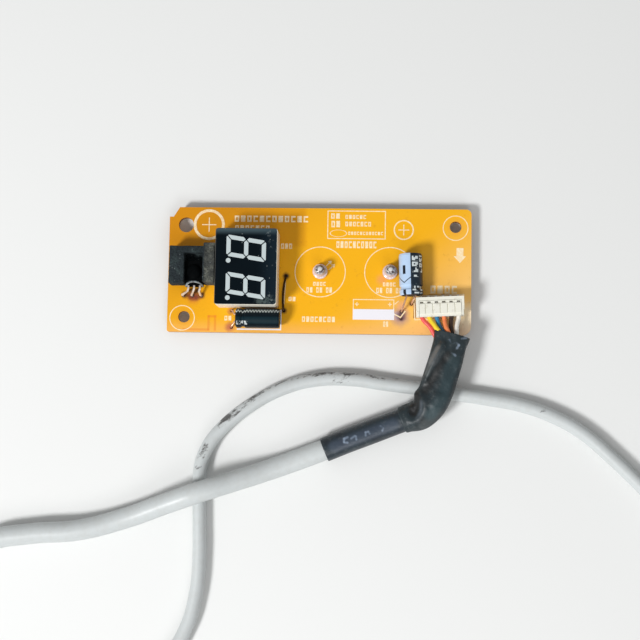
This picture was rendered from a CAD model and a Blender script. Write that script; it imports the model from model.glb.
import math
import bmesh
import bpy
from mathutils import Matrix, Vector, noise


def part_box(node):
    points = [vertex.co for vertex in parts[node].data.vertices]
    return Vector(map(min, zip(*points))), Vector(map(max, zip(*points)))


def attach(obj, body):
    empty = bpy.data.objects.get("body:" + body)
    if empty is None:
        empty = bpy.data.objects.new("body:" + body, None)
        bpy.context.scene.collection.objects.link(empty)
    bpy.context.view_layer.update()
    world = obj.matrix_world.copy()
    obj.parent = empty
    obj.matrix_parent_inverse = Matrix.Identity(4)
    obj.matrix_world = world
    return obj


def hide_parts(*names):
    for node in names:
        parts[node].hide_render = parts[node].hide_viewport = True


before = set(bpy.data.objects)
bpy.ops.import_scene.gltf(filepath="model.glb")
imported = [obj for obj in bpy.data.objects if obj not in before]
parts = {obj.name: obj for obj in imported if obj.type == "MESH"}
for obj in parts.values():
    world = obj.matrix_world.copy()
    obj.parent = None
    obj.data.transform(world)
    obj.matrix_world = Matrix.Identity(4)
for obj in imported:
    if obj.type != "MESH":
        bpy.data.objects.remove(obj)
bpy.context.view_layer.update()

# Camera
# It looks down at the board from a little in front and to the right, held almost level. Places and
# sizes are written in millimetres here and below, and times mm they are metres.
mm = 0.001
camera_at = Vector((16.065, -48.351, 353.337)) * mm
aimed_at = Vector((0.48, -13.75, 3.4)) * mm
camera_roll = 0.0168
backward = (camera_at - aimed_at).normalized()
level = Vector((0, 1, 0)).cross(backward).normalized()
upward = backward.cross(level)
rightward = level * math.cos(camera_roll) + upward * math.sin(camera_roll)
topward = upward * math.cos(camera_roll) - level * math.sin(camera_roll)
camera_turn = Matrix((rightward, topward, backward)).transposed().to_4x4()
camera = bpy.data.objects.new("camera", bpy.data.cameras.new("camera"))
camera.matrix_world = Matrix.Translation(camera_at) @ camera_turn
camera.data.lens = 71.75
camera.data.sensor_width = 36
bpy.context.scene.collection.objects.link(camera)
bpy.context.scene.camera = camera

# Grey cable, thick and thin
# Two round cables with a soft grey jacket that has picked up dirt. The thick one comes out of the
# black sleeves, the thin one starts in the joint sleeve and is wound up beyond the picture's edge.
thick_d = 5.7 * mm
thin_d = 3.8 * mm
thick_route = [(32.4, -33, 7.2), (30.6, -36.6, 6.4), (27.8, -39.2, 5.2), (24.4, -40.6, 4.3),
               (20, -42.3, 3.7), (14.6, -44.4, 3.3), (8.4, -46.8, 3.3), (2.2, -49.4, 3.3),
               (-12, -54.8, 3), (-22, -58.2, 4.9), (-31.6, -61.4, 6.8), (-41, -64.8, 5),
               (-52, -68.9, 3), (-65, -72.4, 2.9), (-78, -73.6, 2.9), (-90, -76, 2.9),
               (-100, -82.5, 2.9), (-106, -92.5, 2.9), (-106, -104, 2.9), (-100, -113, 2.9),
               (-91, -118, 3), (-82, -119.4, 3.1)]
hidden_in_sleeves = 3
thin_route = [(-66, -119.4, 2.6), (-57, -117.8, 1.9), (-48, -114, 1.9), (-40.5, -107.5, 1.9),
              (-35, -99, 1.9), (-32.2, -89, 1.9), (-31.5, -79, 1.9), (-31.7, -70, 1.9),
              (-31.9, -61.4, 1.9), (-31.8, -54.5, 1.9), (-29.8, -48.8, 1.9), (-26, -43.8, 1.9),
              (-18.5, -37.6, 1.9), (-10, -32.9, 1.9), (-1, -30.3, 1.9), (9, -29.9, 1.9),
              (18, -31, 1.9), (27.4, -32.1, 1.9), (37, -33.4, 1.9), (47, -34.8, 1.9),
              (56, -36.4, 1.9), (65, -39.5, 1.9), (73, -44, 1.9), (80.5, -50.4, 1.9),
              (88, -57.5, 1.9)]
tail_route = [(138.6, -43.5, 5.2), (138, -38.5, 4.2), (137.3, -33, 3), (136.4, -27, 2.6)]

# Coil: its turns are counted in degrees, and two strands lie side by side on two others
coil_at = (116.5, -53.4)
coil_radius = 21
coil_first, coil_last, coil_step = 226, 4 * 360 + 8, 15
goes_inward, goes_up, goes_outward = (510, 560), (820, 870), (1230, 1280)
strand_aside = 1.92
strand_low, strand_rise = 1.9, 3.82
tie_turn = 100
tie_lift, tie_lift_sharpness = 0.55, 30


def eased(value, start, end):
    """0 before start, 1 after end, and a smooth way between them."""
    part = min(max((value - start) / (end - start), 0), 1)
    return part * part * (3 - 2 * part)


def coil_turns():
    """The turns go outer, inner, inner on top, outer on top, and lift a little over the tie."""
    points = []
    for turn in range(coil_first, coil_last + 1, coil_step):
        inward = eased(turn, *goes_inward) - eased(turn, *goes_outward)
        radius = coil_radius + strand_aside - 2 * strand_aside * inward
        near_tie = max(math.cos(math.radians(turn - tie_turn)), 0) ** tie_lift_sharpness
        points.append((coil_at[0] + radius * math.cos(math.radians(turn)),
                       coil_at[1] + radius * math.sin(math.radians(turn)),
                       strand_low + strand_rise * eased(turn, *goes_up) + near_tie * tie_lift))
    return points


def laid_cable(name, points, thickness):
    """A round cable on a smooth line through its points."""
    line = bpy.data.curves.new(name, "CURVE")
    line.dimensions = "3D"
    line.bevel_depth = 1
    line.bevel_resolution = 6
    line.resolution_u = 8
    line.use_fill_caps = True
    knots = line.splines.new("BEZIER").bezier_points
    knots.add(len(points) - 1)
    for knot, point in zip(knots, points):
        knot.co = Vector(point) * mm
        knot.handle_left_type = knot.handle_right_type = "AUTO"
        knot.radius = thickness / 2
    piece = bpy.data.objects.new(name, line)
    bpy.context.scene.collection.objects.link(piece)
    return piece


thick_cable = laid_cable("thick_cable_run", thick_route[hidden_in_sleeves:], thick_d)
thin_cable = laid_cable("thin_cable_run", thin_route + coil_turns() + tail_route, thin_d)
for cable, stood_for in ((thick_cable, ["thick_cable"]),
                         (thin_cable, ["thin_cable", "cable_coil", "cable_tail"])):
    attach(cable, "root")
    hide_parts(*stood_for)


def paint(red, green, blue):
    """A colour as a screen shows it, from 0 to 255, made linear for a shader."""
    return tuple((c / 255 / 12.92 if c < 10.3 else ((c / 255 + 0.055) / 1.055) ** 2.4)
                 for c in (red, green, blue)) + (1,)


def add(tree, kind, feeds=None, **settings):
    """A shader node with its settings made and its inputs set or fed."""
    made = tree.nodes.new("ShaderNode" + kind)
    for name, value in settings.items():
        setattr(made, name, value)
    for socket, value in (feeds or {}).items():
        if isinstance(value, bpy.types.NodeSocket):
            tree.links.new(value, made.inputs[socket])
        else:
            made.inputs[socket].default_value = value
    return made


def finish(name, **surface):
    """A material with one shader, whose plain values are set on its own sockets."""
    material = bpy.data.materials.new(name)
    material.use_nodes = True
    tree = material.node_tree
    shader = tree.nodes["Principled BSDF"]
    for socket, value in surface.items():
        shader.inputs[socket.replace("_", " ")].default_value = value
    return material, tree, shader


def feed(tree, shader, **sources):
    """Leads patterns to a shader's sockets."""
    for socket, source in sources.items():
        tree.links.new(source, shader.inputs[socket.replace("_", " ")])


def object_place(tree):
    """Where a point lies in its piece's own coordinates, in metres."""
    return add(tree, "TexCoord").outputs["Object"]


def worked(tree, operation, first, second=0.0):
    """Two values worked into one."""
    return add(tree, "Math", {0: first, 1: second}, operation=operation).outputs[0]


def times(tree, first, *others):
    """Masks and values multiplied together."""
    for other in others:
        first = worked(tree, "MULTIPLY", first, other)
    return first


def vectors(tree, operation, first, second=(0, 0, 0)):
    """Two vectors worked into one, or into one value."""
    made = add(tree, "VectorMath", {0: first, 1: second}, operation=operation)
    return made.outputs["Value" if operation in ("DISTANCE", "DOT_PRODUCT") else "Vector"]


def ramp(tree, value, low, high, start=0.0, end=1.0):
    """A value turned smoothly from start to end as it goes from low to high."""
    return add(tree, "MapRange", {0: value, 1: low, 2: high, 3: start, 4: end},
               interpolation_type="SMOOTHSTEP").outputs[0]


def mixed(tree, mask, under, over, share=1):
    """One colour over another where the mask is 1, and no more of it than its share."""
    mask = mask if share == 1 else times(tree, mask, share)
    return add(tree, "Mix", {0: mask, 6: under, 7: over}, data_type="RGBA").outputs[2]


def effect(name, sockets):
    """A node group with values to set and one output, for several materials, still empty."""
    group = bpy.data.node_groups.new(name, "ShaderNodeTree")
    for label, value in sockets.items():
        made = group.interface.new_socket(label, in_out="INPUT", socket_type="NodeSocketFloat")
        made.default_value = value
    group.interface.new_socket("Result", in_out="OUTPUT", socket_type="NodeSocketFloat")
    entry = group.nodes.new("NodeGroupInput")
    leave = group.nodes.new("NodeGroupOutput")
    return group, entry.outputs, leave.inputs["Result"]


def placed_effect(tree, group, **values):
    """An effect put into a material with the material's own values."""
    return add(tree, "Group", values, node_tree=group).outputs["Result"]


# Smudges: broad uneven patches, more of them as Cover rises
smudges, given, result = effect("smudges", {"Scale": 300, "Cover": 0.4, "Edge": 0.15, "Seed": 0})
cloud = add(smudges, "TexNoise", {"Vector": object_place(smudges), "W": given["Seed"],
                                  "Scale": given["Scale"], "Detail": 6, "Roughness": 0.62},
            noise_dimensions="4D").outputs["Fac"]
patch_full = worked(smudges, "SUBTRACT", 1, given["Cover"])
patch_edge = worked(smudges, "SUBTRACT", patch_full, given["Edge"])
smudges.links.new(ramp(smudges, cloud, patch_edge, patch_full), result)

# Grain: a fine even roughness
grain, given, result = effect("grain", {"Scale": 3000, "Detail": 3})
fine = add(grain, "TexNoise", {"Vector": object_place(grain), "Scale": given["Scale"],
                               "Detail": given["Detail"]}).outputs["Fac"]
grain.links.new(fine, result)


def smudged(tree, scale, cover, edge, seed):
    """Smudges in a material."""
    return placed_effect(tree, smudges, Scale=scale, Cover=cover, Edge=edge, Seed=seed)


def grained(tree, scale, detail, depth):
    """A normal roughened by grain, with its depth in metres."""
    height = placed_effect(tree, grain, Scale=scale, Detail=detail)
    return add(tree, "Bump", {"Height": height, "Distance": depth, "Strength": 1}).outputs["Normal"]


def close_to(tree, place, start, end, reach):
    """1 near the line between two spots, and 0 beyond its reach."""
    core = 0.35
    run = (Vector(end) - Vector(start)) * mm
    rest = vectors(tree, "SUBTRACT", place, Vector(start) * mm)
    share = vectors(tree, "DOT_PRODUCT", rest, run / run.length_squared)
    share = worked(tree, "MINIMUM", worked(tree, "MAXIMUM", share, 0), 1)
    nearest = add(tree, "VectorMath", {0: run, "Scale": share}, operation="SCALE").outputs[0]
    away = vectors(tree, "DISTANCE", rest, nearest)
    return ramp(tree, away, reach * mm, reach * core * mm)


def grey_jacket(name, dirt):
    """Pale grey jacket with rubbed marks, and brown-black dirt smeared along the given lines."""
    material, tree, shader = finish(name, Roughness=0.4, Specular_IOR_Level=0.5)
    tone, worn = smudged(tree, 60, 0.55, 0.5, 3), smudged(tree, 520, 0.34, 0.25, 8)
    colour = mixed(tree, tone, paint(206, 211, 212), paint(188, 193, 193), 0.6)
    colour = mixed(tree, worn, colour, paint(166, 160, 150), 0.12)
    place = object_place(tree)
    soiled = 0.0
    for start, end, reach, share in dirt:
        line = times(tree, close_to(tree, place, start, end, reach), share)
        soiled = worked(tree, "MAXIMUM", soiled, line)
    drawn_out = add(tree, "Mapping", {"Vector": place, "Rotation": (0, 0, math.radians(30)),
                                      "Scale": (2.2, 1, 1)}, vector_type="TEXTURE").outputs[0]
    speckled = add(tree, "TexNoise", {"Vector": drawn_out, "Scale": 1500, "Detail": 7,
                                      "Roughness": 0.7}).outputs["Fac"]
    patchy = add(tree, "TexNoise", {"Vector": drawn_out, "Scale": 420, "Detail": 2}).outputs["Fac"]
    caked = worked(tree, "ADD", times(tree, speckled, 0.62), times(tree, patchy, 0.38))
    caked = worked(tree, "ADD", caked, times(tree, soiled, 0.5))
    colour = mixed(tree, ramp(tree, caked, 0.68, 0.8), colour, paint(46, 40, 36), 0.85)
    feed(tree, shader, Base_Color=colour, Normal=grained(tree, 900, 4, 0.00003))
    return material


# Dirt: the line it lies along, how far it reaches, and how thick it lies
thick_dirt = [((-48, -66, 6), (-40, -63, 7), 4, 0.2),
              ((-16, -54, 5), (-8, -51, 4), 4, 0.2)]
thin_dirt = [((-25.2, -41.1, 2.7), (-19.4, -36.6, 2.7), 2.6, 0.5),
             ((-26.4, -43.4, 3.2), (-22.6, -40.2, 3.6), 1.7, 0.37),
             ((-19.4, -36.6, 2.7), (-13.6, -32.6, 2.4), 2.5, 0.48),
             ((-13.6, -31.9, 2.2), (-5.4, -28.7, 2.2), 2.4, 0.42),
             ((-5.4, -28.7, 2.2), (3.4, -27.8, 2.2), 3, 0.42),
             ((3.4, -27.8, 2.2), (12, -27.9, 2.2), 3, 0.44),
             ((12, -27.9, 2.2), (21, -29.2, 2.2), 2.8, 0.38),
             ((-32.4, -54.4, 3.4), (-30.4, -48.6, 3.2), 2.1, 0.38),
             ((2, -30.4, 3.6), (9, -30, 3.6), 1.8, 0.28),
             ((60, -36.5, 3), (68, -40, 3), 3, 0.22)]
thick_cable.data.materials.append(grey_jacket("thick grey jacket", thick_dirt))
thin_cable.data.materials.append(grey_jacket("thin grey jacket", thin_dirt))

# Shrink sleeves
# Black shrink tube. The upper one is too wide for its wires: it lies flat, is folded along its left
# side and buckles at the elbow. The lower one has shrunk tight on the cable, the others are small.
sleeve_route = [(36.7, -17.5, 7.2), (35.8, -21, 7.3), (34.8, -25, 7.3),
                (33.6, -29, 7.3)] + thick_route[:8]
joint_route = [(-82, -119.4, 3.1), (-74, -119.8, 3.1), (-66, -119.4, 3.1)]
tail_sleeve_route = [(136.4, -27, 2.6), (135.5, -23, 2.6), (134.6, -19, 2.6)]


def along(route, place):
    """The point and the heading on a smooth line through a route, at a place counted in points."""
    k = min(int(place), len(route) - 2)
    t = place - k
    a, b, c, d = (Vector(route[min(max(k + j, 0), len(route) - 1)]) * mm for j in (-1, 0, 1, 2))
    second, third = 2 * a - 5 * b + 4 * c - d, 3 * (b - c) + d - a
    point = b + ((c - a) * t + second * t ** 2 + third * t ** 3) / 2
    heading = (c - a) + second * 2 * t + third * 3 * t ** 2
    return point, heading.normalized()


def shown(name, mesh):
    """A finished mesh as a piece that rides on the board's body."""
    bmesh.ops.recalc_face_normals(mesh, faces=mesh.faces)
    data = bpy.data.meshes.new(name)
    mesh.to_mesh(data)
    mesh.free()
    for face in data.polygons:
        face.use_smooth = True
    piece = bpy.data.objects.new(name, data)
    bpy.context.scene.collection.objects.link(piece)
    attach(piece, "root")
    return piece


def drawn_sleeve(name, route, stations, around, dent):
    """A ring drawn along a route. A station is its place, its half width and its half height."""
    upper_side = (-0.1, 0.75)
    mesh = bmesh.new()
    lift = mesh.verts.layers.float.new("lift")
    ring = bmesh.ops.create_circle(mesh, segments=around, radius=1)["verts"]
    edges, seat = mesh.edges[:], Matrix.Identity(4)
    for vertex in ring:
        vertex[lift] = vertex.co.y
    first = edges
    for k, (place, wide, high) in enumerate(stations):
        centre, ahead = along(route, place)
        side = Vector((0, 0, 1)).cross(ahead).normalized()
        turned = Matrix((side * wide * mm, ahead.cross(side) * high * mm, ahead)).transposed()
        now = Matrix.Translation(centre) @ turned.to_4x4()
        if k:
            drawn = bmesh.ops.extrude_edge_only(mesh, edges=edges)["geom"]
            ring = [v for v in drawn if isinstance(v, bmesh.types.BMVert)]
            edges = [e for e in drawn if isinstance(e, bmesh.types.BMEdge)
                     and all(v in ring for v in e.verts)]
        bmesh.ops.transform(mesh, matrix=now @ seat.inverted(), verts=ring)
        seat = now
    bmesh.ops.contextual_create(mesh, geom=first)
    bmesh.ops.contextual_create(mesh, geom=edges)
    for vertex in mesh.verts:
        vertex.co += dent(vertex.co, eased(vertex[lift], *upper_side))
    return shown(name, mesh)


def tube_stations(start, end, count, half_width, half_height, wall=0.5, lip=0.35):
    """Stations of an open tube: in at its start, over the edge, along, and in again at its end."""
    steps_in, edge_rounding = (1.6, 0.8, 0), 0.25

    def size(place, less=0.0):
        """Half the width and half the height at a place."""
        part = (place - start) / (end - start)
        return half_width(part) - less, half_height(part) - less

    line = [start + (end - start) * k / count for k in range(count + 1)]
    inner = [(start + lip * d, *size(start, wall)) for d in steps_in]
    outer = [(p, *size(p, wall * edge_rounding if p in (start, end) else 0)) for p in line]
    back = [(end - lip * d, *size(end, wall)) for d in reversed(steps_in)]
    return inner + outer + back


def near(value, spread):
    """1 where a value is 0, falling off smoothly over its spread."""
    return math.exp(-(value / spread) ** 2)


# Folds of the upper sleeve: half width, height, and the line each follows on the floor plan
folds = [
    (0.95, 1.25, [(33.9, -20.6), (33.5, -21.8), (31.6, -25), (29.9, -28.4), (29.2, -30)]),
    (2.3, -0.8, [(34.4, -25.4), (32.8, -27.8), (31, -30.4), (29.8, -33)]),
    (1.6, -0.9, [(26.6, -36), (27.2, -37.2), (26.6, -38.8)]),
    (1.5, 0.9, [(27.4, -34.6), (28.7, -36.2), (29, -38.2), (28.2, -40.2), (26.4, -41.8)]),
    (1.2, 0.5, [(33.4, -34.6), (32, -37)]),
    (1.2, -0.6, [(38.4, -22), (37, -27), (33.8, -33)]),
]
# Its corner flap and side notch: where, how far they are pushed, and how far that reaches
pushes = [((27.4, -33.9, 7), (-0.7, 0.2, 0.2), 1.2), ((26.3, -35.5, 6), (0.5, -1.1, 0), 1.8)]


def off_fold(point, line):
    """How far a point is from a line of points on the floor plan."""
    spot = Vector((point.x, point.y)) / mm
    off = []
    for start, end in zip(line, line[1:]):
        run = Vector(end) - Vector(start)
        share = min(max((spot - Vector(start)).dot(run) / run.length_squared, 0), 1)
        off.append((spot - Vector(start) - run * share).length)
    return min(off)


def folded(point, top):
    """How far a point of the upper sleeve is pushed in or out; top is 1 on its upper side."""
    flow = Vector((point.x * 0.75 + point.y * 0.15, point.y * 0.35, point.z * 0.6))
    creases = noise.noise(flow * 900 + Vector((4, 0, 0))) * 0.14
    push = Vector((0, 0, noise.noise(flow * 330) * 0.5 + creases))
    for at, way, reach in pushes:
        push += Vector(way) * near((point - Vector(at) * mm).length / mm, reach)
    for half_width, height, line in folds:
        push.z += height * top * near(off_fold(point, line), half_width)
    return push * mm


def rippled(point, top):
    """How far a point of a tight sleeve is off its round."""
    return Vector((0, 0, noise.noise(point * 260) * 0.16 + noise.noise(point * 700) * 0.05)) * mm


def upper_width(part):
    """Half the upper sleeve's width: a flared mouth, a wavy middle and a narrower end."""
    flare = 0.5 * eased(-part, -0.14, 0)
    return 4.45 + 0.25 * math.sin(part * 3.1) + flare - 0.8 * eased(part, 0.8, 1)


def upper_height(part):
    """Half its height: pressed flat at the mouth, rounder over the cable."""
    return 2.3 + 0.85 * eased(part, 0.05, 0.35) + 0.35 * eased(part, 0.8, 1)


def joint_radius(part):
    """The joint sleeve is wide over the thick cable and narrow over the thin one."""
    return 3.1 - 0.75 * eased(part, 0.45, 0.75)


upper_sleeve = drawn_sleeve(
    "upper_sleeve_tube", sleeve_route,
    tube_stations(0, 7.25, 116, upper_width, upper_height), 72, folded)
lower_sleeve = drawn_sleeve(
    "lower_sleeve_tube", sleeve_route,
    tube_stations(6.5, 11, 70, lambda part: 3.25 + 0.1 * eased(part, 0.1, 0.7),
                  lambda part: 3.15 + 0.15 * eased(part, 0, 0.5), wall=0.35, lip=0.12),
    48, rippled)
joint_sleeve = drawn_sleeve(
    "joint_sleeve_tube", joint_route,
    tube_stations(0, 2, 40, joint_radius, joint_radius, wall=0.3, lip=0.05), 32, rippled)
tail_sleeve = drawn_sleeve(
    "tail_sleeve_tube", tail_sleeve_route,
    tube_stations(0, 2, 30, lambda part: 2.3 + 2.7 * eased(part, 0.1, 1),
                  lambda part: 2.3 - 0.8 * eased(part, 0.3, 1), wall=0.3, lip=0.05),
    40, rippled)


def shrink_finish(name, colour, sheen, marks, wear):
    """Black shrink tube: dull, rubbed paler in places, with dust and small worn marks of print."""
    material, tree, shader = finish(name, Roughness=sheen, Specular_IOR_Level=0.6)
    rubbed, dusty = smudged(tree, 160, 0.4, 0.3, 2), smudged(tree, 900, 0.36, 0.1, 6)
    tone = mixed(tree, rubbed, colour, paint(46, 68, 76), 0.3)
    tone = mixed(tree, dusty, tone, paint(120, 124, 122), 0.14)
    place = object_place(tree)
    for start, end, reach, share, shade in wear:
        tone = mixed(tree, close_to(tree, place, start, end, reach), tone, shade, share)
    worn = smudged(tree, 1500, 0.56, 0.1, 5)
    stroke_reach = 0.5
    for stroke in marks:
        for start, end in zip(stroke, stroke[1:]):
            inked = times(tree, close_to(tree, place, start, end, stroke_reach), worn)
            tone = mixed(tree, inked, tone, paint(140, 156, 176), 0.5)
    feed(tree, shader, Base_Color=tone, Normal=grained(tree, 1400, 5, 0.0001))
    return material


# Wear: the line it lies along, how far it reaches, how strong it is, and its colour
warm_rub, cold_rub, dark_rub = paint(92, 98, 98), paint(46, 70, 76), paint(2, 5, 7)
elbow_rub = paint(96, 104, 114)
loose_wear = [((33, -22, 9.6), (31.2, -25.4, 9.6), 1.7, 0.75, paint(108, 111, 113)),
              ((32.4, -38.4, 8.4), (29.2, -42.4, 7.4), 2.2, 0.36, warm_rub),
              ((31.2, -25.4, 9.6), (29.8, -28.4, 9.6), 1.3, 0.5, warm_rub),
              ((36.8, -24.6, 9), (34.4, -33, 9), 2.6, 0.45, cold_rub),
              ((33.6, -35, 9), (31, -39.4, 9), 2.6, 0.6, cold_rub),
              ((28.7, -36.2, 8.6), (29, -38.4, 8.4), 1.3, 0.65, elbow_rub),
              ((29, -38.4, 8.4), (27.6, -40.8, 7.8), 1.3, 0.65, elbow_rub),
              ((35.2, -23.2, 9), (32.8, -26.6, 8.4), 1.9, 0.9, dark_rub),
              ((32.8, -26.6, 8.4), (29.8, -33, 8), 2.3, 0.9, dark_rub),
              ((27, -35.2, 8), (26.4, -38.6, 7), 2.4, 1, dark_rub)]
tight_wear = [((21, -42.2, 6.4), (5, -48.5, 6.4), 2.3, 0.5, paint(66, 78, 96))]
loose_marks = [[(35.8, -19.3, 9.3), (36.3, -20.4, 9.3), (37.2, -20.1, 9.3)],
               [(37.6, -20, 9.3), (38.3, -20.7, 9.3), (37.8, -21.5, 9.3)],
               [(36.3, -22.8, 9.4), (37.4, -23.5, 9.4)], [(39, -18.9, 9), (40.4, -18.6, 8.6)]]
tight_marks = [[(8.6, -45.9, 6.4), (7.7, -46.3, 6.4), (7.7, -47.2, 6.4), (8.6, -47.3, 6.4)],
               [(9.6, -46.2, 6.4), (10.6, -45.5, 6.4)], [(10.9, -45.6, 6.4), (11, -46.4, 6.4)],
               [(13.5, -45.3, 6.4), (13.5, -44.5, 6.4), (14.2, -44.3, 6.4), (14.6, -44.8, 6.4)],
               [(17.5, -42.7, 6.4), (18.3, -43.2, 6.4), (18, -43.9, 6.4)]]
loose_black = shrink_finish("loose shrink tube", paint(9, 21, 26), 0.5, loose_marks, loose_wear)
tight_black = shrink_finish("tight shrink tube", paint(20, 29, 39), 0.36, tight_marks, tight_wear)
for sleeve, node, black in ((upper_sleeve, "upper_sleeve", loose_black),
                            (lower_sleeve, "lower_sleeve", tight_black),
                            (joint_sleeve, "joint_sleeve", tight_black),
                            (tail_sleeve, "tail_sleeve", loose_black)):
    sleeve.data.materials.append(black)
    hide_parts(node)

# Coil tie
# Nylon tie drawn tight round the four strands of the coil. The band bends round each strand and
# runs straight to the next one, and has its square head and a cut-off tail on top.
tie_width, tie_thickness = 2.5, 0.45
tie_bend, bend_steps = 1.95, 8
tie_low, tie_high = 2.45, 6.27
# Its head and its tail: middle, size, and lean in degrees
tie_blocks = [((0.6, 0, 9.2), (4.2, 3.6, 2), 0),
              ((4.4, 0, 9), (3.6, 2.4, 0.6), 8)]
tie_mesh = bmesh.new()
loop = bmesh.ops.create_circle(tie_mesh, segments=4 * bend_steps, radius=1)["verts"]
for k, vertex in enumerate(loop):
    corner, step = divmod(k, bend_steps)
    turn = math.radians(corner * 90 + step * 90 / (bend_steps - 1))
    aside = strand_aside if corner in (0, 3) else -strand_aside
    middle = Vector((aside, -tie_width / 2, tie_high if corner < 2 else tie_low))
    vertex.co = middle + Vector((math.cos(turn), 0, math.sin(turn))) * tie_bend
drawn = bmesh.ops.extrude_edge_only(tie_mesh, edges=tie_mesh.edges[:])["geom"]
bmesh.ops.translate(tie_mesh, verts=[v for v in drawn if isinstance(v, bmesh.types.BMVert)],
                    vec=(0, tie_width, 0))
bmesh.ops.recalc_face_normals(tie_mesh, faces=tie_mesh.faces)
bmesh.ops.solidify(tie_mesh, geom=tie_mesh.faces[:], thickness=-tie_thickness)
for middle, size, lean in tie_blocks:
    turned = Matrix.Rotation(math.radians(lean), 4, "Y") @ Matrix.Diagonal((*size, 1))
    bmesh.ops.create_cube(tie_mesh, size=1, matrix=Matrix.Translation(middle) @ turned)
tie_seat = Matrix.Translation((*coil_at, 0)) @ Matrix.Rotation(math.radians(tie_turn), 4, "Z")
tie_seat = Matrix.Scale(mm, 4) @ tie_seat @ Matrix.Translation((coil_radius, 0, 0))
bmesh.ops.transform(tie_mesh, matrix=tie_seat, verts=tie_mesh.verts)
coil_tie = shown("coil_tie_band", tie_mesh)
for face in coil_tie.data.polygons:
    face.use_smooth = False
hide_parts("coil_tie")
nylon_finish, tree, shader = finish("ivory nylon", Roughness=0.4, Specular_IOR_Level=0.5)
aged, grime = smudged(tree, 260, 0.45, 0.4, 3), smudged(tree, 800, 0.34, 0.12, 2)
colour = mixed(tree, aged, paint(244, 244, 236), paint(230, 227, 210), 0.6)
colour = mixed(tree, grime, colour, paint(160, 148, 122), 0.3)
feed(tree, shader, Base_Color=colour, Normal=grained(tree, 1500, 2, 0.00001))
coil_tie.data.materials.append(nylon_finish)

# Six coloured wires
# Stranded wire in thin soft PVC, crimped in the plug and gathered into the mouth of the upper
# sleeve. They run with the thick cable, the tie and the tail sleeve with the thin one.
wire_d = 1.2 * mm
plug_at = (33.3, -10.0)
plug_turn = math.radians(3)
plug_mouth, crimp_length = -2.75, 1.1
way_height, way_pitch, middle_way = 6.23, 2, 2.5
wires = {
    "wire_red": (0, paint(240, 88, 84),
                 (30.6, -15.6, 6.6), (32.4, -18.6, 6.7), (33.4, -19.8, 6.7)),
    "wire_yellow": (1, paint(255, 226, 44),
                    (32, -15.4, 7.3), (33.8, -18.1, 7.9), (34.2, -19.8, 7.3)),
    "wire_blue": (2, paint(30, 128, 178),
                  (33.2, -15.2, 6.3), (34.9, -18, 6.4), (35.2, -19.8, 6.5)),
    "wire_orange": (3, paint(255, 144, 84),
                    (34.8, -15.2, 7.3), (35.8, -18, 8.2), (35.9, -19.8, 7.5)),
    "wire_black": (4, paint(40, 24, 18),
                   (36.3, -15.2, 6.4), (36.7, -18, 6.8), (36.4, -19.8, 6.7)),
    "wire_white": (5, paint(255, 252, 244),
                   (37.9, -15.2, 6.9), (37.7, -18, 7.6), (37.2, -19.8, 7.1)),
}
for wire_name, (way, colour, *bends) in wires.items():
    across = (way - middle_way) * way_pitch
    starts = [(plug_at[0] + across * math.cos(plug_turn) - back * math.sin(plug_turn),
               plug_at[1] + across * math.sin(plug_turn) + back * math.cos(plug_turn), way_height)
              for back in (plug_mouth + crimp_length, plug_mouth)]
    wire = laid_cable(wire_name + "_run", starts + bends, wire_d)
    skin, tree, shader = finish(wire_name.replace("_", " ") + " jacket",
                                Roughness=0.36, Specular_IOR_Level=0.5)
    colour = mixed(tree, smudged(tree, 700, 0.45, 0.2, way), colour, paint(96, 70, 52), 0.16)
    feed(tree, shader, Base_Color=colour, Normal=grained(tree, 1200, 2, 0.00003))
    wire.data.materials.append(skin)
    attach(wire, "root")
    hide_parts(wire_name)

# Circuit board
# Single-sided board of resin-bonded paper, punched and cut, its copper and solder below. The upper
# face is amber under clear resin, darker over the copper field and brown where flux has burnt.
board_top, board_under = 3.4, 1.8


def dress(finish_made, *names):
    """Gives one finish to CAD pieces."""
    for name in names:
        parts[name].data.materials.clear()
        parts[name].data.materials.append(finish_made)


def axes(tree, place):
    """The three coordinates of a place."""
    return add(tree, "SeparateXYZ", {0: place}).outputs


def stain(tree, place, x, y, radius):
    """A round patch, 1 at its middle, with a ragged soft edge."""
    core, ragged = 0.35, 0.35
    far = vectors(tree, "DISTANCE", place, Vector((x, y, board_top)) * mm)
    wander = add(tree, "TexNoise", {"Vector": place, "Scale": 700, "Detail": 3}).outputs["Fac"]
    far = worked(tree, "ADD", far, times(tree, wander, radius * ragged * mm))
    return ramp(tree, far, radius * (1 + ragged / 2) * mm, radius * core * mm)


def field(tree, place, low, high, soft):
    """A soft-edged box on the board, 1 inside it."""
    low, high = Vector((*low, 0)) * mm, Vector((*high, 0)) * mm
    away = vectors(tree, "ABSOLUTE", vectors(tree, "SUBTRACT", place, (low + high) / 2))
    x, y, _ = axes(tree, vectors(tree, "SUBTRACT", away, (high - low) / 2))
    return ramp(tree, worked(tree, "MAXIMUM", x, y), soft * mm, 0)


def amber(tree, place):
    """Amber resin: brownish at the upper left, golden in the middle, paler to the lower right."""
    x, y, _ = axes(tree, place)
    slope = worked(tree, "SUBTRACT", x, times(tree, y, 1.2))
    front_edge = ramp(tree, y, -13 * mm, -17.5 * mm)
    copper_field = field(tree, place, (-44, 7.5), (-4.6, 19), 1.6)
    colour = mixed(tree, ramp(tree, slope, -60 * mm, 0), paint(214, 144, 0), paint(250, 184, 16))
    colour = mixed(tree, ramp(tree, slope, 14 * mm, 60 * mm), colour, paint(254, 208, 130))
    colour = mixed(tree, front_edge, colour, paint(252, 190, 116), 0.5)
    colour = mixed(tree, copper_field, colour, paint(196, 118, 4), 0.3)
    return mixed(tree, smudged(tree, 90, 0.5, 0.5, 4), colour, paint(220, 140, 20), 0.14)


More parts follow.
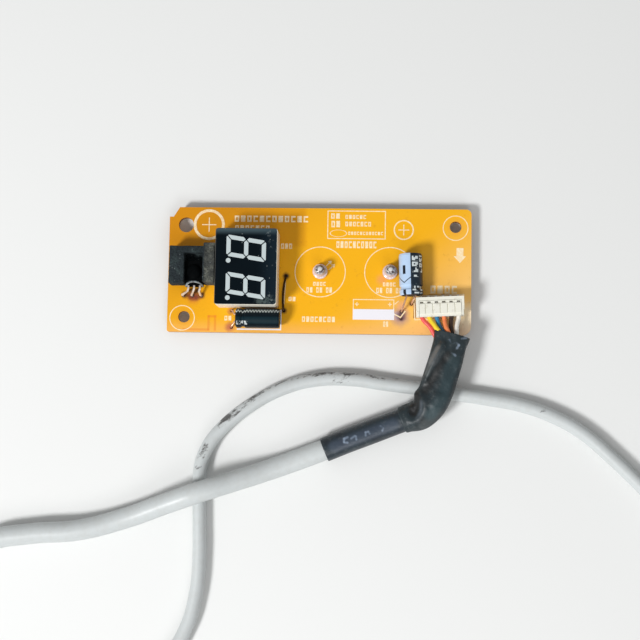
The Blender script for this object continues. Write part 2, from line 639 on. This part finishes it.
# Tracks that show through the board at its front left, and dark ones round the header
pale_tracks = [((-30.6, -17), (-30.2, -12.9)), ((-30.6, -13.3), (-28.4, -12.9)),
               ((-28.8, -17), (-28.4, -12.9)), ((-37.5, -17), (-30.4, -16.6))]
dark_tracks = [((27.9, -7.1), (31, -6.6)), ((30.6, -6.9), (34.4, -6.4)),
               ((34, -6.7), (37.6, -6.2)), ((26.3, -12.8), (26.8, -8.6))]
# Stains: where, how wide, how strong, and their colour
stains = [(22.5, -12.6, 3.6, 0.85, paint(166, 132, 142)),
          (21.4, -12.3, 1.8, 0.5, paint(206, 186, 196)),
          (22.8, -12.4, 2, 0.85, paint(78, 50, 62)),
          (22.9, -11.1, 0.9, 0.9, paint(46, 22, 22)),
          (22.8, -13.2, 0.8, 0.9, paint(46, 22, 22)),
          (-34.8, -7.6, 3, 0.6, paint(204, 104, 48)),
          (-37.1, -7.2, 1.6, 0.9, paint(70, 30, 24)),
          (-35.5, -7.7, 1.6, 0.85, paint(104, 38, 38)),
          (-34, -7.8, 1.6, 0.85, paint(104, 34, 50)),
          (-32.6, -7.3, 1.5, 0.9, paint(80, 30, 38)),
          (-35.5, -6, 1.3, 0.8, paint(84, 48, 24)),
          (-33.9, -6, 1.4, 0.85, paint(66, 38, 24)),
          (-37.3, -13.3, 3, 0.5, paint(216, 130, 36)),
          (37.6, 12.5, 3, 0.45, paint(226, 140, 66)),
          (-24.3, -11.6, 1.5, 0.6, paint(150, 84, 70)),
          (-24.6, -16, 1.9, 0.75, paint(176, 84, 80)),
          (-9.1, -1.6, 1.4, 0.9, paint(66, 42, 20)),
          (-9.6, -11.3, 1.3, 0.9, paint(66, 42, 20)),
          (17.4, -2.4, 2.2, 0.5, paint(236, 150, 110)),
          (22.9, -9.6, 2, 0.6, paint(244, 178, 142)),
          (25.7, -8.9, 1.3, 0.6, paint(176, 112, 70)),
          (39.6, -15.8, 6, 0.8, paint(255, 228, 200)),
          (41, -12, 5, 0.75, paint(255, 238, 206))]
board_finish, tree, shader = finish("amber board", Roughness=0.42, Specular_IOR_Level=0.25)
place = object_place(tree)
colour = amber(tree, place)
for low, high in pale_tracks:
    track = field(tree, place, low, high, 0.25)
    colour = mixed(tree, track, colour, paint(226, 118, 40), 0.42)
for low, high in dark_tracks:
    track = field(tree, place, low, high, 0.3)
    colour = mixed(tree, track, colour, paint(112, 56, 40), 0.75)
for x, y, radius, share, tone in stains:
    colour = mixed(tree, stain(tree, place, x, y, radius), colour, tone, share)
colour = mixed(tree, smudged(tree, 520, 0.3, 0.12, 1), colour, paint(170, 104, 40), 0.2)
height = axes(tree, place)[2]
cut_edge = ramp(tree, height, (board_top - 0.03) * mm, (board_top - 0.2) * mm)
under_face = ramp(tree, height, (board_under + 0.1) * mm, (board_under + 0.02) * mm)
colour = mixed(tree, cut_edge, colour, paint(146, 92, 44))
colour = mixed(tree, under_face, colour, paint(176, 124, 58))
feed(tree, shader, Base_Color=colour, Normal=grained(tree, 1600, 5, 0.00002))
dress(board_finish, "circuit_board")

# Print: cream, with the amber showing through; its solid block and one outline are whiter
print_finish, tree, shader = finish("cream print", Roughness=0.6)
place = object_place(tree)
thin_spots = smudged(tree, 1500, 0.42, 0.2, 2)
colour = mixed(tree, thin_spots, paint(252, 236, 200), amber(tree, place), 0.35)
for low, high in (((9.4, -13.6), (21, -10.5)), ((-23.5, -17), (-9.5, -10.6))):
    colour = mixed(tree, field(tree, place, low, high, 0.1), colour, paint(240, 238, 244))
feed(tree, shader, Base_Color=colour)
dress(print_finish, "board_print")


def mottled(name, ground, patch, smudging, share=1, **surface):
    """A finish in one colour with soft patches of a second one."""
    material, tree, shader = finish(name, **surface)
    colour = mixed(tree, smudged(tree, *smudging), ground, patch, share)
    feed(tree, shader, Base_Color=colour)
    return material


def tinned(name, bright, dull_tone, roughness, soil=0.3, bare=1.0):
    """Tin-plated metal, a little dull, with flux and oxide; bare is its metallic share."""
    material, tree, shader = finish(name, Metallic=bare, Roughness=roughness)
    colour = mixed(tree, smudged(tree, 900, 0.45, 0.3, 3), bright, dull_tone, soil)
    feed(tree, shader, Base_Color=colour, Normal=grained(tree, 2500, 3, 0.00002))
    return material


dress(mottled("lacquered copper", paint(176, 112, 62), paint(132, 92, 50), (200, 0.5, 0.4, 5),
              Metallic=0.6, Roughness=0.4, Coat_Weight=0.5), "copper_tracks")
dress(tinned("solder", paint(196, 198, 200), paint(120, 120, 116), 0.32), "solder_joints")

# Display
# Two seven-bar digits in one white reflector moulding, with milky resin in its wells and a black
# printed film on its face and round two of its rims. A small board with ten pins closes it below.
bright_tin = tinned("bright tin", paint(214, 212, 206), paint(120, 96, 76), 0.28)
dress(bright_tin, "display_pins")
case_low, case_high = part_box("display_housing")
case_finish, tree, shader = finish("white reflector plastic", Roughness=0.34,
                                   Specular_IOR_Level=0.5)
yellowed = smudged(tree, 240, 0.42, 0.3, 2)
colour = mixed(tree, yellowed, paint(244, 243, 236), paint(226, 218, 194), 0.5)
x, y, z = axes(tree, object_place(tree))
film_edge, film_full = 0.5 * mm, 0.3 * mm
over_left = ramp(tree, x, case_low[0] + film_edge, case_low[0] + film_full)
over_upper = ramp(tree, y, case_high[1] - film_edge, case_high[1] - film_full)
down_side = ramp(tree, z, case_high[2] - film_edge, case_high[2] - 0.35 * mm)
wrapped = times(tree, worked(tree, "MAXIMUM", over_left, over_upper), down_side)
colour = mixed(tree, wrapped, colour, paint(14, 22, 26), 0.9)
feed(tree, shader, Base_Color=colour, Normal=grained(tree, 1400, 2, 0.00001))
dress(case_finish, "display_housing")

# Specks: small separate dots of dust
specks, given, result = effect("specks", {"Scale": 1500, "Size": 0.2, "Share": 0.3})
cells = add(specks, "TexVoronoi", {"Vector": object_place(specks), "Scale": given["Scale"]}).outputs
lone = worked(specks, "LESS_THAN", axes(specks, cells["Color"])[0], given["Share"])
dot = ramp(specks, cells["Distance"], given["Size"], times(specks, given["Size"], 0.5))
specks.links.new(times(specks, dot, lone), result)


def specked(tree, scale, size, share):
    """Specks in a material."""
    return placed_effect(tree, specks, Scale=scale, Size=size, Share=share)


face_finish, tree, shader = finish("black printed film", Specular_IOR_Level=0.06)
place = object_place(tree)
haze = smudged(tree, 130, 0.5, 0.5, 6)
colour = mixed(tree, haze, paint(1, 5, 9), paint(8, 22, 30), 0.5)
x, y, _ = axes(tree, place)
top_edge = ramp(tree, y, 8.2 * mm, 10.2 * mm)
right_side = ramp(tree, x, -17 * mm, -11.5 * mm)
wiped = times(tree, close_to(tree, place, (-15.6, -9.8, 13), (-12.4, -9.5, 13), 2.4),
              smudged(tree, 1100, 0.48, 0.1, 7))
scuffs = times(tree, smudged(tree, 900, 0.34, 0.08, 9), right_side)
colour = mixed(tree, top_edge, colour, paint(84, 104, 112), 0.62)
colour = mixed(tree, right_side, colour, paint(34, 52, 66), 0.3)
colour = mixed(tree, wiped, colour, paint(116, 132, 128), 0.45)
colour = mixed(tree, scuffs, colour, paint(150, 160, 160), 0.35)
colour = mixed(tree, specked(tree, 1300, 0.2, 0.08), colour, paint(170, 178, 176), 0.5)
feed(tree, shader, Base_Color=colour, Roughness=ramp(tree, haze, 0, 1, 0.28, 0.5))
dress(face_finish, "display_face")

dress(mottled("milky resin", paint(202, 213, 215), paint(176, 189, 191), (600, 0.5, 0.4, 1), 0.4,
              Roughness=0.3, Specular_IOR_Level=0.5), "digit_1_bars", "digit_2_bars")
chip_finish, tree, shader = finish("gold chip", Metallic=1, Roughness=0.3)
etched = placed_effect(tree, grain, Scale=4000, Detail=1)
feed(tree, shader, Base_Color=mixed(tree, etched, paint(212, 170, 80), paint(180, 140, 60)))
dress(chip_finish, "display_chips")
dress(mottled("display back board", paint(88, 122, 72), paint(70, 100, 60), (300, 0.5, 0.4, 7),
              Roughness=0.55), "display_back_board")

# Infrared receiver
# Black moulded receiver on three bent leads, with a thin bright lip of its metal frame at the lower
# end. It lies in a pocket of soft black foam, which is cut by hand and glued down.
dress(tinned("receiver leads", paint(246, 240, 232), paint(170, 128, 104), 0.3, 0.3, 0.5),
      "ir_receiver_leads")
dress(mottled("dull metal lip", paint(150, 166, 174), paint(104, 112, 118), (900, 0.4, 0.2, 2),
              Metallic=0.3, Roughness=0.35), "ir_receiver_lip")
dress(mottled("black receiver resin", paint(1, 2, 3), paint(6, 8, 9), (500, 0.4, 0.3, 2),
              Roughness=0.7, Specular_IOR_Level=0.03), "ir_receiver_body")

# The foam is a closed block of small cells, worn round at its edges and sagging at its upper end
foam_cell = 0.22 * mm
foam_worn = 0.12
foam_sag, sag_from, sag_full = 1.1, 1.5, 6
foam_cut = parts["ir_foam_pad"].data.copy()
foam_shape = bmesh.new()
foam_shape.from_mesh(foam_cut)
bmesh.ops.remove_doubles(foam_shape, verts=foam_shape.verts, dist=0.01 * mm)
bmesh.ops.recalc_face_normals(foam_shape, faces=foam_shape.faces)
foam_shape.to_mesh(foam_cut)
foam_shape.free()
foam_block = bpy.data.objects.new("foam_block", foam_cut)
bpy.context.scene.collection.objects.link(foam_block)
foam_cells = foam_block.modifiers.new("cells", "REMESH")
foam_cells.mode = "VOXEL"
foam_cells.voxel_size = foam_cell
bpy.context.view_layer.update()
foam_mesh = bmesh.new()
foam_mesh.from_object(foam_block, bpy.context.evaluated_depsgraph_get())
bpy.data.objects.remove(foam_block)
bmesh.ops.smooth_vert(foam_mesh, verts=foam_mesh.verts, factor=0.5,
                      use_axis_x=True, use_axis_y=True, use_axis_z=True)
foam_low, foam_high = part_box("ir_foam_pad")
foam_middle = (foam_low + foam_high) / 2
for vertex in foam_mesh.verts:
    uneven = noise.noise(vertex.co * 1900) * 0.07 + noise.noise(vertex.co * 420) * 0.14
    sunk = eased((vertex.co.y - foam_middle.y) / mm, sag_from, sag_full)
    lift = (vertex.co.z - foam_low.z) / (foam_high.z - foam_low.z)
    inward = (foam_middle - vertex.co).normalized() * (foam_worn + uneven)
    settled = Vector((0, 0, foam_worn * (1 - lift) - foam_sag * sunk * lift))
    vertex.co += (inward + settled) * mm
foam_pad = shown("foam_pad", foam_mesh)
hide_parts("ir_foam_pad")
foam_finish, tree, shader = finish("black foam", Roughness=0.95, Specular_IOR_Level=0.15)
faded_strip = ramp(tree, axes(tree, object_place(tree))[0], -31.2 * mm, -30.7 * mm)
colour = mixed(tree, faded_strip, paint(62, 74, 74), paint(116, 118, 108))
colour = mixed(tree, smudged(tree, 420, 0.45, 0.3, 6), colour, paint(34, 38, 44), 0.75)
colour = mixed(tree, specked(tree, 2600, 0.5, 0.6), colour, paint(16, 20, 22), 0.5)
colour = mixed(tree, specked(tree, 1500, 0.3, 0.22), colour, paint(128, 136, 136), 0.45)
feed(tree, shader, Base_Color=colour, Normal=grained(tree, 2000, 6, 0.0005))
foam_pad.data.materials.append(foam_finish)

# Lamps
# Two 3 mm lamps: clear resin cast round a bright lead frame, whose longer post holds the cup with
# the chip. The flange stands just above the board.
lamp_places = {"lamp_1": (0.3, -0.35), "lamp_2": (19.6, -0.3)}
lens_radius, dome_from, lens_floor = 1.5, 3.1, 3.5
lens_profile = [(0, 0), (2.0, 0), (2.05, 0.08), (2.05, 0.92), (1.98, 1.0), (1.55, 1.02),
                (lens_radius, 1.1), (lens_radius, dome_from)]
for rise in range(9, 90, 9):
    lens_profile.append((lens_radius * math.cos(math.radians(rise)),
                         dome_from + lens_radius * math.sin(math.radians(rise))))
lens_profile.append((0, dome_from + lens_radius))
lens_finish, tree, shader = finish("clear resin", Transmission_Weight=0.3, IOR=1.5)
haze, bent_light = smudged(tree, 700, 0.4, 0.3, 4), smudged(tree, 1700, 0.46, 0.16, 3)
from_above = vectors(tree, "MULTIPLY", object_place(tree), (1, 1, 0))
cups = [((lamp_x + 0.1) * mm, (lamp_y + 0.2) * mm, 0) for lamp_x, lamp_y in lamp_places.values()]
off_axis = worked(tree, "MINIMUM", *(vectors(tree, "DISTANCE", from_above, cup) for cup in cups))
cup_edge = times(tree, ramp(tree, off_axis, 0.45 * mm, 0.7 * mm),
                 ramp(tree, off_axis, 1.9 * mm, 1 * mm), bent_light)
flange = ramp(tree, off_axis, 1.3 * mm, 1.6 * mm)
colour = mixed(tree, flange, paint(255, 255, 255), paint(255, 232, 230))
colour = mixed(tree, cup_edge, colour, paint(84, 66, 68))
feed(tree, shader, Roughness=ramp(tree, haze, 0, 1, 0.05, 0.18), Base_Color=colour)
for lamp_name, (lamp_x, lamp_y) in lamp_places.items():
    mesh = bmesh.new()
    outline = [mesh.verts.new((x * mm, 0, z * mm)) for x, z in lens_profile]
    for a, b in zip(outline, outline[1:]):
        mesh.edges.new((a, b))
    bmesh.ops.spin(mesh, geom=mesh.verts[:] + mesh.edges[:], axis=(0, 0, 1), cent=(0, 0, 0),
                   angle=math.tau, steps=48, use_merge=True)
    bmesh.ops.remove_doubles(mesh, verts=mesh.verts, dist=0.005 * mm)
    bmesh.ops.translate(mesh, verts=mesh.verts, vec=Vector((lamp_x, lamp_y, lens_floor)) * mm)
    lens = shown(lamp_name + "_lens_cast", mesh)
    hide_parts(lamp_name + "_lens")
    lens.data.materials.append(lens_finish)
dress(bright_tin, "lamp_1_leads", "lamp_2_leads")

# Capacitors
# Two electrolytic cans lying down, each in a printed shrink sleeve, with a rubber bung rolled in at
# the lead end. The large one has a light blue stripe with dark bars, the small one a worn zigzag.
dress(tinned("drawn aluminium", paint(212, 214, 216), paint(150, 150, 150), 0.25),
      "big_capacitor_can", "small_capacitor_can")
dress(mottled("black rubber bung", paint(24, 24, 25), paint(58, 56, 54), (500, 0.4, 0.3, 3),
              Roughness=0.75), "big_capacitor_bung", "small_capacitor_bung")
dress(tinned("fluxed leads", paint(236, 200, 168), paint(170, 112, 84), 0.35, 0.6, 0.5),
      "big_capacitor_leads", "small_capacitor_leads")


def can_place(tree, centre, turn):
    """The turn round a can's axis in degrees, 0 at its top, and the run along it."""
    set_in = add(tree, "Mapping", {"Vector": object_place(tree), "Location": Vector(centre) * mm,
                                   "Rotation": (0, 0, math.radians(turn))}, vector_type="TEXTURE")
    x, y, z = axes(tree, set_in.outputs[0])
    return times(tree, worked(tree, "ARCTAN2", x, z), 180 / math.pi), times(tree, y, 1 / mm)


def between(tree, value, low, high, soft):
    """1 where a value lies between two others."""
    return times(tree, ramp(tree, value, low - soft, low), ramp(tree, value, high + soft, high))


def print_marks(tree, angle, run, first, last, start, end, tall, step):
    """Rows of small plain blocks that stand for print, in a band of the sleeve."""
    blank_share, word_length, gap_share = 0.42, 4, 0.22
    column = worked(tree, "DIVIDE", worked(tree, "SUBTRACT", angle, first), tall)
    row = worked(tree, "DIVIDE", run, step)
    cell = vectors(tree, "FLOOR", add(tree, "CombineXYZ", {0: column, 1: row}).outputs[0])
    chance = add(tree, "TexWhiteNoise", {"Vector": cell}).outputs["Value"]
    in_word = worked(tree, "FRACT", worked(tree, "DIVIDE", run, step * word_length))
    band = times(tree, between(tree, angle, first, last, 0.5), between(tree, run, start, end, 0.05))
    return times(tree, worked(tree, "GREATER_THAN", chance, blank_share),
                 worked(tree, "GREATER_THAN", in_word, gap_share), band)


# Large sleeve: navy, with blocks of print and a pale stripe that has two bars and an arrow
stripe_middle, arrow_slope = -37, -0.04
navy_finish, tree, shader = finish("navy sleeve", Specular_IOR_Level=0.35, Coat_Weight=0.1)
angle, run = can_place(tree, (25.3, -1.37, 6.7), 2)
tone, rubbed = smudged(tree, 260, 0.45, 0.4, 5), smudged(tree, 900, 0.3, 0.1, 3)
bars = worked(tree, "ADD", between(tree, run, 0.1, 2.2, 0.3), between(tree, run, -6.5, -4.4, 0.3))
bars = times(tree, between(tree, angle, -43, -30, 3), bars)
off_middle = worked(tree, "ABSOLUTE", worked(tree, "SUBTRACT", angle, stripe_middle))
slanted = worked(tree, "ADD", run, times(tree, off_middle, arrow_slope))
arrow = between(tree, slanted, -2.45, -2.3, 0.14)
blue = mixed(tree, tone, paint(188, 212, 240), paint(166, 192, 222), 0.5)
blue = mixed(tree, worked(tree, "ADD", bars, arrow), blue, paint(10, 20, 32))
colour = mixed(tree, tone, paint(6, 20, 34), paint(24, 44, 58), 0.5)
colour = mixed(tree, between(tree, angle, -112, -3, 1.2), colour, blue)
words = worked(tree, "ADD", print_marks(tree, angle, run, 5, 37, -0.9, 4.8, 8, 0.4),
               print_marks(tree, angle, run, 45, 70, 0.4, 5, 8, 0.36))
words = worked(tree, "ADD", words, print_marks(tree, angle, run, 5, 72, -5.4, -3.3, 9, 0.42))
colour = mixed(tree, words, colour, paint(222, 232, 234), 0.9)
colour = mixed(tree, rubbed, colour, paint(120, 130, 134), 0.3)
feed(tree, shader, Base_Color=colour, Roughness=ramp(tree, tone, 0, 1, 0.24, 0.4))
dress(navy_finish, "big_capacitor_sleeve")

# Small sleeve: black, with a zigzag line that climbs round it and a patch of print
zigzag_from, zigzag_climb, zigzag_run, line_half_width = 30, 0.017, 0.4, 0.12
black_finish, tree, shader = finish("black sleeve", Specular_IOR_Level=0.16)
angle, run = can_place(tree, (-16.5, -13.75, 6.2), 90)
tone = smudged(tree, 300, 0.45, 0.4, 8)
climb = times(tree, worked(tree, "SUBTRACT", angle, zigzag_from), zigzag_climb)
off_line = worked(tree, "SUBTRACT", worked(tree, "PINGPONG", run, zigzag_run), climb)
on_line = worked(tree, "LESS_THAN", worked(tree, "ABSOLUTE", off_line), line_half_width)
zigzag = times(tree, between(tree, angle, 31, 53, 1.5), on_line,
               smudged(tree, 900, 0.5, 0.3, 6))
words = times(tree, print_marks(tree, angle, run, -46, -22, 2.6, 5.6, 6, 0.3),
              smudged(tree, 1500, 0.5, 0.1, 2))
colour = mixed(tree, tone, paint(1, 11, 17), paint(8, 25, 34), 0.5)
colour = mixed(tree, between(tree, angle, -34, -2, 10), colour, paint(18, 56, 66), 0.3)
colour = mixed(tree, zigzag, colour, paint(205, 214, 214), 0.85)
colour = mixed(tree, words, colour, paint(226, 232, 230), 0.75)
feed(tree, shader, Base_Color=colour, Roughness=ramp(tree, tone, 0, 1, 0.2, 0.36))
dress(black_finish, "small_capacitor_sleeve")

# Wire link
# A bare tinned copper wire that joins two tracks. It is bent down through two holes of the board,
# soldered below, and brown with old flux.
dress(tinned("browned link", paint(96, 78, 62), paint(44, 30, 20), 0.45, 0.8), "jumper_wire")

# Header and plug
# Ivory nylon mouldings with two-millimetre pitch. The plug is pushed in from the board's edge over
# six square pins and holds a crimped contact in each channel. A like plug ends the cable.
dress(nylon_finish, "header_shell", "plug_shell", "tail_plug")
dress(bright_tin, "header_pins", "plug_contacts")

# Floor and light
# A plain pale sheet under the board, a soft lamp above the lower left, whose shadows fall to the
# upper right, a weak one opposite it and even light all round.
floor_mesh = bmesh.new()
bmesh.ops.create_grid(floor_mesh, x_segments=1, y_segments=1, size=6)
floor_data = bpy.data.meshes.new("floor")
floor_mesh.to_mesh(floor_data)
floor_mesh.free()
floor = bpy.data.objects.new("floor", floor_data)
bpy.context.scene.collection.objects.link(floor)
floor_finish = finish("pale floor", Base_Color=paint(232, 233, 232), Roughness=0.85)[0]
floor.data.materials.append(floor_finish)
for lamp_name, lamp_place, lamp_size, lamp_power in (
        ("soft lamp", (-0.6, -0.52, 0.8), 0.26, 10.0),
        ("fill lamp", (0.2, -0.8, 0.75), 0.6, 2.2)):
    lamp = bpy.data.objects.new(lamp_name, bpy.data.lights.new(lamp_name, "AREA"))
    lamp.data.shape = "DISK"
    lamp.data.size = lamp_size
    lamp.data.energy = lamp_power
    lamp.location = lamp_place
    lamp.rotation_euler = (-Vector(lamp_place)).to_track_quat("-Z", "Y").to_euler()
    bpy.context.scene.collection.objects.link(lamp)
surround = bpy.data.worlds.new("surround")
bpy.context.scene.world = surround
surround.use_nodes = True
sky = surround.node_tree.nodes["Background"].inputs
sky["Color"].default_value = (1, 1, 1, 1)
sky["Strength"].default_value = 0.38
bpy.context.scene.view_settings.view_transform = "Standard"
